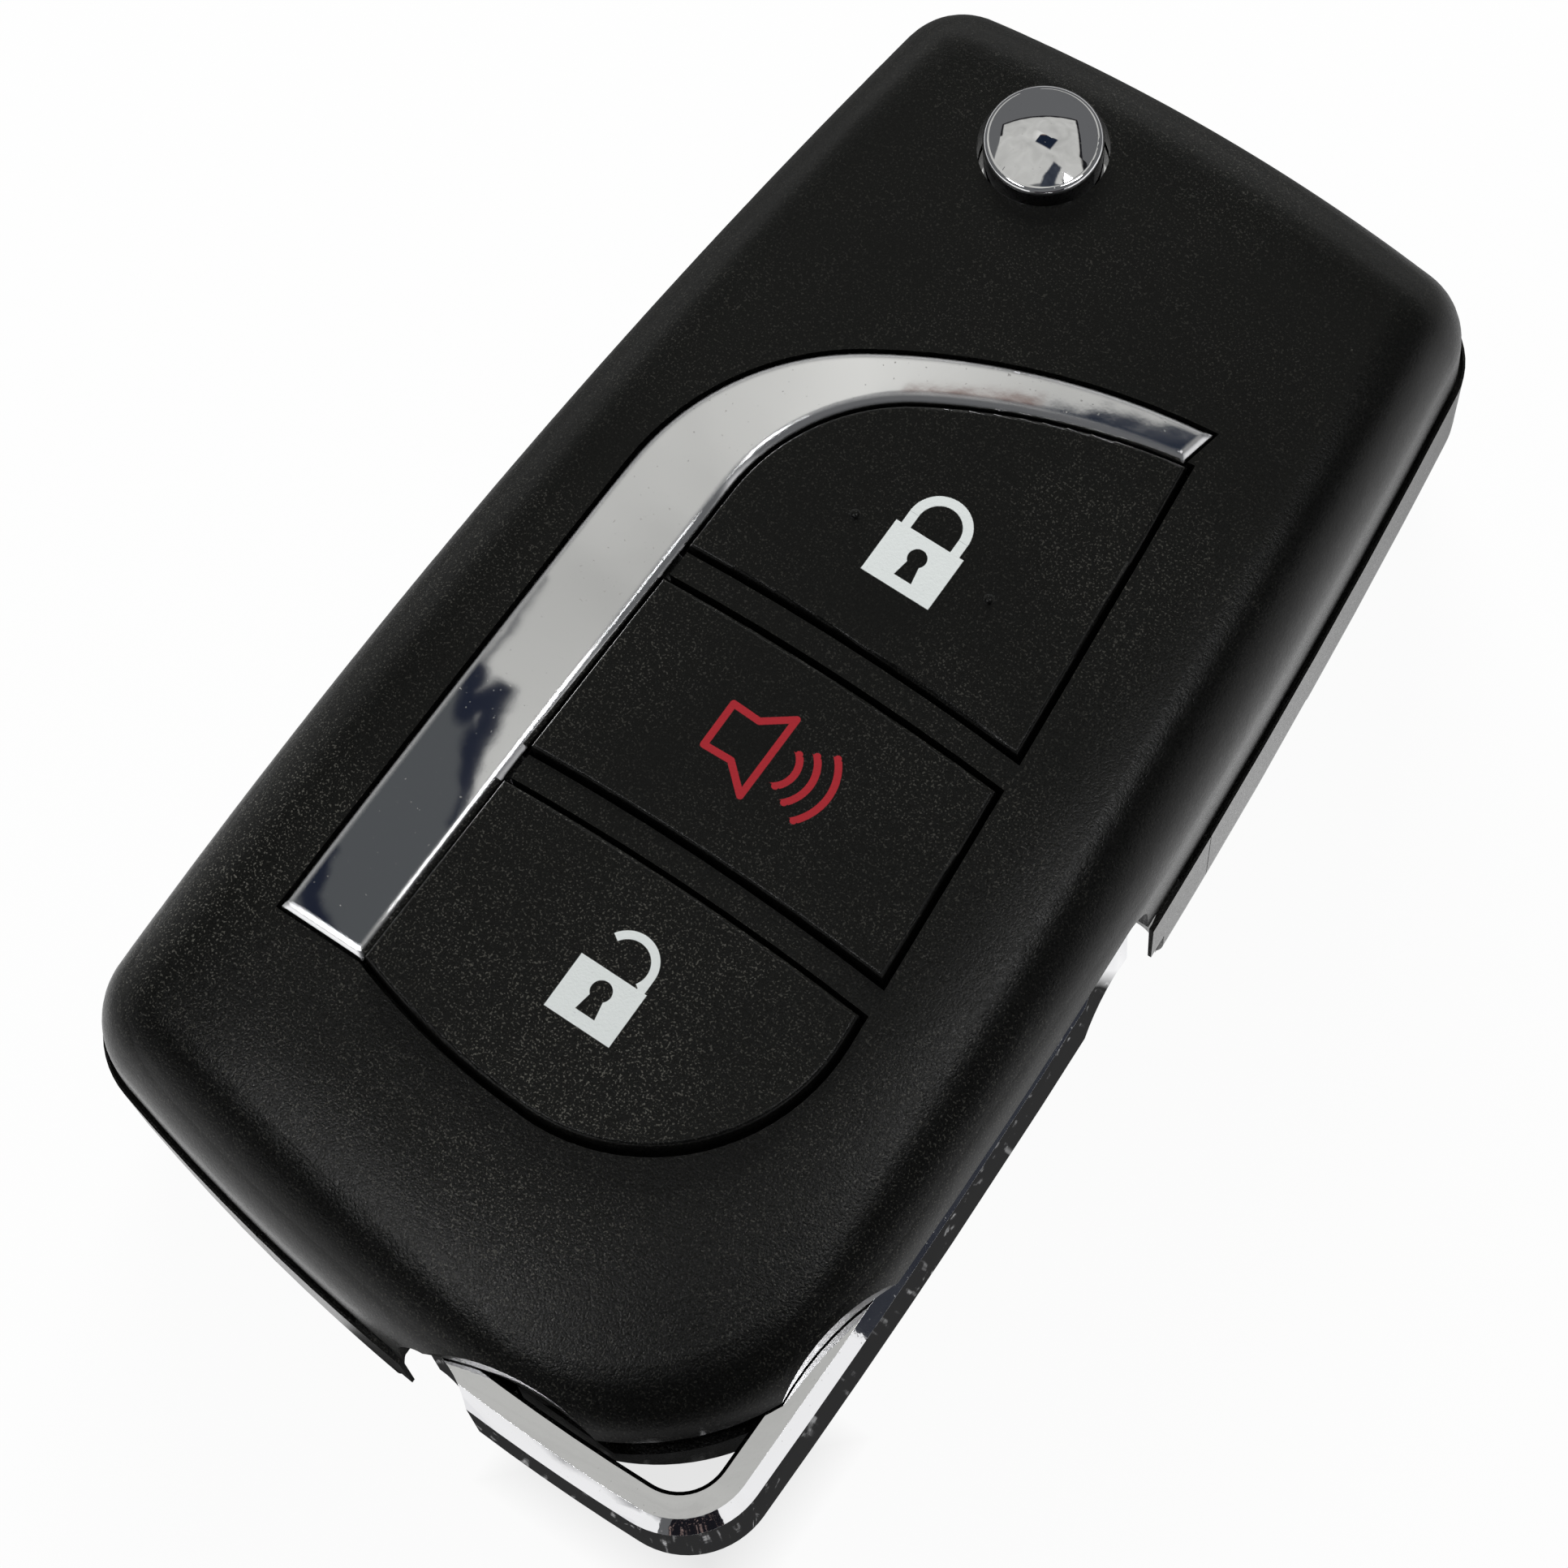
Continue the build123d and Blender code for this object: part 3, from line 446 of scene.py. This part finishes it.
def softened(node, width):
    """Replaces a CAD piece with a copy whose sharp edges are rounded by a width in millimetres."""
    sharp = math.radians(30)
    source = frame["nodes"][node]
    piece = source.copy()
    piece.data = source.data.copy()
    piece.name = node + "_rounded"
    bpy.context.collection.objects.link(piece)
    bpy.ops.object.select_all(action="DESELECT")
    piece.select_set(True)
    bpy.context.view_layer.objects.active = piece
    bpy.ops.object.mode_set(mode="EDIT")
    bpy.ops.mesh.select_all(action="SELECT")
    bpy.ops.mesh.remove_doubles(threshold=0.001 * MM)
    bpy.ops.mesh.dissolve_limited(angle_limit=math.radians(0.6))
    bpy.ops.object.mode_set(mode="OBJECT")
    bpy.ops.object.shade_smooth_by_angle(angle=sharp)
    edges = piece.modifiers.new("edges", "BEVEL")
    edges.width = width * MM
    edges.segments = 3
    edges.limit_method = "ANGLE"
    edges.angle_limit = sharp
    edges.harden_normals = True
    bpy.ops.object.modifier_apply(modifier="edges")
    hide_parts(node)
    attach(piece, body_of(source)[0])


softened("key_loop", 0.09)


# Tools for the floor and for the sheets that polished metal mirrors

def show(finish, seen_as, amount=1.0, strength=1.0):
    """Mixes a glow over the shader, by an amount from 0 to 1."""
    ends = finish.tree.nodes["Material Output"].inputs["Surface"]
    glow = finish.node("ShaderNodeEmission", {}, {"Color": seen_as, "Strength": strength})
    before = Value(finish, ends.links[0].from_socket)
    finish.feed(ends, finish.node("ShaderNodeMixShader", {}, {0: amount, 1: before, 2: glow}))


def see_through(finish, amount):
    """Lets what is behind a sheet show where the amount is 0."""
    ends = finish.tree.nodes["Material Output"].inputs["Surface"]
    clear = finish.node("ShaderNodeBsdfTransparent")
    before = Value(finish, ends.links[0].from_socket)
    finish.feed(ends, finish.node("ShaderNodeMixShader", {}, {0: amount, 1: clear, 2: before}))


def glowing_sheet(name):
    """A finish that reflects nothing, and the place that its glow is drawn by."""
    sheet = Finish(name)
    sheet.set(Base_Color=(0, 0, 0), Roughness=1.0)
    return sheet, *sheet.place()


def turned_to(middle, target):
    """Turn that points a plane or a lamp at a target."""
    return (Vector(target) - Vector(middle)).to_track_quat("-Z", "Y").to_euler()


def stage_plane(name, middle, size, finish, target=None):
    """Flat stage piece, level or facing a target."""
    bpy.ops.object.select_all(action="DESELECT")
    bpy.ops.mesh.primitive_plane_add(size=1, location=(0, 0, 0))
    thing = bpy.context.object
    thing.name = name
    thing.scale = (*size, 1)
    thing.location = middle
    if target:
        thing.rotation_euler = turned_to(middle, target)
    bpy.ops.object.transform_apply(location=True, rotation=True, scale=True)
    thing.data.materials.append(finish.material)
    return thing


def mirrored_sheet(name, middle, size, finish, target=None):
    """Stage plane that only mirrors show: no camera sees it, and it neither shades nor lights."""
    thing = stage_plane(name, middle, size, finish, target)
    thing.visible_camera = False
    thing.visible_shadow = False
    thing.visible_diffuse = False
    return thing


def mirrored_on_sheet(spot, height):
    """Where the camera, looking at a spot of the crowned face, sees a level sheet at a height."""
    inlay_level = 15.9
    spot = Vector((*spot, inlay_level)) * MM
    towards = (CAMERA_PLACE - spot).normalized()
    upright = (spot - Vector((0, CROWN_Y, FACE_HEIGHT - CROWN_RADIUS)) * MM).normalized()
    bounced = 2 * upright.dot(towards) * upright - towards
    return (spot + bounced * ((height - spot.z) / bounced.z)).xy / MM


def unmirrored(x, y, height, spots):
    """Turns places on a sheet back into places on the face, near three spots of it."""
    seen = [mirrored_on_sheet(spot, height) for spot in spots]
    on_sheet = Matrix(((seen[1] - seen[0]), (seen[2] - seen[0]))).transposed()
    on_face = Matrix((Vector(spots[1]) - Vector(spots[0]), Vector(spots[2]) - Vector(spots[0]))).transposed()
    turn = on_face @ on_sheet.inverted()
    start = Vector(spots[0]) - turn @ seen[0]
    return x * turn[0][0] + y * turn[0][1] + start[0], x * turn[1][0] + y * turn[1][1] + start[1]


# Floor and mirrored sheets. Shapes on them are in millimetres

def make_floor():
    """White to the camera. Metal sees it light, with a painted shadow under the ring loop and painted shade
    towards the left and back; the camera sees painted shade inside the loop.
    """
    floor = Finish("pale_floor")
    floor.set(Base_Color=(0.86, 0.86, 0.86), Roughness=0.9)
    position, (x, y, _) = floor.place()
    camera_ray, glossy_ray, through_ray = [floor.node("ShaderNodeLightPath", output=ray) for ray in
                                           ("Is Camera Ray", "Is Glossy Ray", "Is Transmission Ray")]
    # Painted shadow that mirrors see: the floor under the ring loop turns dark, with lighter specks
    under_loop = smaller(to_box(x, y, 15.5, 26, -46, 0.5), to_box(x, y, -3.5, 26, -46, -24))
    specks = floor.spots(position, 1500, 2, 0.62, 6) * 0.5
    mirrored = 1 - inside(under_loop, 1.0) * (0.97 - specks)
    # Painted shade that mirrors see: the floor darkens towards the left and back
    mirrored = mirrored * (0.1 + 0.9 * ((x * 0.6 - y * 0.5 + 25) / 30).clamped())
    level = floor.mix((camera_ray + through_ray).clamped(), (0, 0, 0), (1, 1, 1))
    level = floor.mix(glossy_ray * mirrored, level, (1, 1, 1))
    # Painted shade that the camera sees inside the loop's opening
    painted_shade_in_loop = inside(to_box(x, y, 7, 18, -34, -25), 3) * 0.2
    show(floor, level, (camera_ray * (0.96 - painted_shade_in_loop) + through_ray * 0.96 + glossy_ray).clamped())
    stage_plane("floor", (0, 0, 0), (3, 3), floor)


def make_overhead_screen():
    """Big pale screen with rounded corners, darker to its right, with dark navy and brown shapes drawn where
    the inlay's upper arm mirrors it.
    """
    height = 0.5
    middle = (-132, 165)
    screen, position, (x, y, _) = glowing_sheet("overhead_screen")
    drift = (screen.noise(position, 14, 3) - 0.5) * 60
    # Dark navy and brown shapes, drawn on the screen where the inlay's upper arm mirrors it
    arm_x, arm_y = unmirrored(x + drift * 0.12, y + drift * 0.1, height, [(-4, 16), (6, 18.5), (0, 15.5)])
    stripe = (arm_y - 16.5) - arm_x * 0.5 + arm_x * arm_x * 0.012
    shaded = larger(stripe + 0.2, -4.6 - arm_x)
    brown = larger(larger(stripe, -stripe - 1.0), larger(-4.0 - arm_x, arm_x - 1.3))
    glow = 0.56 + (screen.noise(position, 9, 2, 0.5, 1.2) - 0.5) * 0.3
    glow = glow + inside(to_circle(x, y, (-165, 205), 20), 60) * 0.3
    tone = screen.mix(1 - glow.clamped(), (1.0, 1.0, 0.95), (0, 0, 0))
    shade = inside(shaded, 0.3) * inside(to_box(x, y, -175, -40, 150, 330), 10)
    tone = screen.mix(shade, tone, (0.012, 0.018, 0.034))
    tone = screen.mix(inside(brown, 0.4), tone, (0.20, 0.125, 0.105))
    across = (x - middle[0]) * 0.82 + (y - middle[1]) * 0.572
    along = (y - middle[1]) * 0.82 - (x - middle[0]) * 0.572
    outline = to_box(across, along, -215, 215, -190, 190) - 70
    dark_rim = larger(abs(outline + 8) - 12, -larger(across + along * 0.3 - 60, along - 120))
    tone = screen.mix(inside(dark_rim + drift * 0.3, 10), tone, (0.01, 0.01, 0.012))
    show(screen, tone)
    see_through(screen, inside(outline, 6))
    thing = mirrored_sheet("overhead_screen", (middle[0] * MM, middle[1] * MM, height), (0.82, 0.82), screen)
    thing.visible_diffuse = True


def make_leg_flag(height):
    """Grey field and dark ragged tongue that the lower part of the inlay mirrors."""
    flag, position, (x, y, _) = glowing_sheet("leg_flag")
    drift = (flag.noise(position, 260, 3) - 0.5) * 2.4
    leg_x, leg_y = unmirrored(x + drift * 0.6, y + drift, height, [(-11, -15), (-11, 5), (-8.5, -5)])
    below = larger(leg_y + 9.6 + (leg_x + 10.6) * 1.7, abs(leg_x + 10.9) - 2.9)
    tongue = [(-11.9, -7.4), (-11.3, -9.4), (-10.75, -7.7), (-10.2, -10.2), (-9.5, -12.0)]
    strokes = [([(-11.95, -2.2), (-11.9, -7.5)], 0.3), (tongue, 0.95), ([(-9.5, -12.0), (-9.2, -13.9)], 0.35),
               ([(-12.6, -17.6), (-12.2, -19.6), (-10.9, -20.6)], 0.9)]
    dark = None
    for points, width in strokes:
        stroke = to_strokes(leg_x, leg_y, points, width)
        dark = stroke if dark is None else smaller(dark, stroke)
    show(flag, flag.mix(inside(dark, 0.35), (0.088, 0.094, 0.098), (0.014, 0.018, 0.032)))
    see_through(flag, inside(smaller(below, dark), 0.4))
    mirrored_sheet("leg_flag", (-0.034, 0.002, height), (0.026, 0.05), flag)


def make_loop_flag(height):
    """Dark ragged sheet above the case, which the loop's right side mirrors."""
    flag, position, (x, y, _) = glowing_sheet("loop_flag")
    show(flag, flag.mix(flag.noise(position, 300, 3), (0.02, 0.024, 0.036), (0.06, 0.07, 0.09)))
    ragged = to_box(x, y, -1, 8, -7, 36) + (flag.noise(position, 220, 3) - 0.5) * 3
    see_through(flag, inside(ragged, 1.5))
    mirrored_sheet("loop_flag", (0.006, 0.015, height), (0.022, 0.052), flag)


def make_edge_flag():
    """Dark strip beside the case, which the upper part of the loop's right edge mirrors."""
    flag, position, _ = glowing_sheet("edge_flag")
    show(flag, flag.mix(flag.noise(position, 400, 2), (0.018, 0.020, 0.030), (0.05, 0.055, 0.065)))
    along = -0.0045
    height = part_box("key_loop")[1][2] + 0.0066
    mirrored_sheet("edge_flag", (0.045, along, height), (0.026, 0.0075), flag, (0, along, height))


def make_sweeps():
    """White sweep low around the table, which the upright edges mirror. It fades out upwards."""
    height = 0.66
    sweep, position, (x, y, z) = glowing_sheet("white_sweep")
    tone = sweep.mix(sweep.noise(position, 6, 2), (0.90, 0.90, 0.88), (0.98, 0.98, 0.98))
    show(sweep, tone, strength=1.15)
    top = 280 + ((x - y) / 600).clamped() * 200
    see_through(sweep, ((top - z) / 200 + (sweep.noise(position, 8, 2) - 0.5) * 0.5).clamped())
    for name, place, target, width in [("right_sweep", (1.2, 0.3), (0, 0.3), 1.9),
                                       ("front_sweep", (-0.45, -1.2), (-0.45, 0), 1.5),
                                       ("left_sweep", (-1.2, 0), (0, 0), 2.4),
                                       ("back_sweep", (0, 1.2), (0, 0), 2.4)]:
        mirrored_sheet(name, (*place, height / 2), (width, height), sweep, (*target, height / 2))


def make_dark_corner():
    """Dark corner of the room, which the loop's corner mirrors."""
    height = 0.5
    gloom, position, _ = glowing_sheet("dark_corner")
    show(gloom, gloom.mix(gloom.spots(position, 26, 3, 0.60, 12), (0.010, 0.010, 0.013), (0.30, 0.22, 0.20)))
    mirrored_sheet("corner_gloom", (0.86, -0.92, height / 2), (1.0, height), gloom, (0, 0, height / 2))


# Lamps, sky and camera

def make_lamp(name, middle, size, power):
    """Soft rectangular lamp that faces the object."""
    lamp = bpy.data.lights.new(name, "AREA")
    lamp.shape = "RECTANGLE"
    lamp.size, lamp.size_y = size
    lamp.energy = power
    thing = bpy.data.objects.new(name, lamp)
    thing.location = middle
    thing.rotation_euler = turned_to(middle, (0, 0, 0.01))
    bpy.context.collection.objects.link(thing)
    return thing


def make_lamps():
    """One lamp that lights all, and two that show only as a sheen on glossy surfaces."""
    make_lamp("key_light", (-0.25, 0.37, 0.18), (0.26, 0.16), 3.8).visible_glossy = False
    make_lamp("right_lamp", (0.183, 0.073, 0.474), (0.06, 0.18), 0.62).visible_diffuse = False
    make_lamp("low_lamp", (-0.108, -0.222, 0.450), (0.16, 0.05), 0.7).visible_diffuse = False


def make_sky():
    """Faint, slightly blue light from all sides."""
    world = bpy.data.worlds.new("studio")
    world.use_nodes = True
    sky = world.node_tree.nodes["Background"]
    sky.inputs["Color"].default_value = (0.96, 0.98, 1.0, 1)
    sky.inputs["Strength"].default_value = 0.14
    bpy.context.scene.world = world


def make_camera():
    """Camera at the photograph's place, angle and framing."""
    camera = bpy.data.objects.new("camera", bpy.data.cameras.new("camera"))
    right = CAMERA_RIGHT.normalized()
    up = (CAMERA_UP - right * CAMERA_UP.dot(right)).normalized()
    turn = Matrix((right, up, right.cross(up))).transposed()
    camera.matrix_world = Matrix.Translation(CAMERA_PLACE) @ turn.to_4x4()
    camera.data.lens = CAMERA_LENS
    camera.data.sensor_width = CAMERA_SENSOR
    camera.data.shift_x = CAMERA_SHIFT
    camera.data.clip_start = 0.01
    bpy.context.collection.objects.link(camera)
    bpy.context.scene.camera = camera


FLAG_HEIGHT = 0.08
make_floor()
make_overhead_screen()
make_leg_flag(FLAG_HEIGHT)
make_loop_flag(FLAG_HEIGHT)
make_edge_flag()
make_sky()
make_sweeps()
make_dark_corner()
make_lamps()
make_camera()
bpy.context.scene.view_settings.view_transform = "Standard"
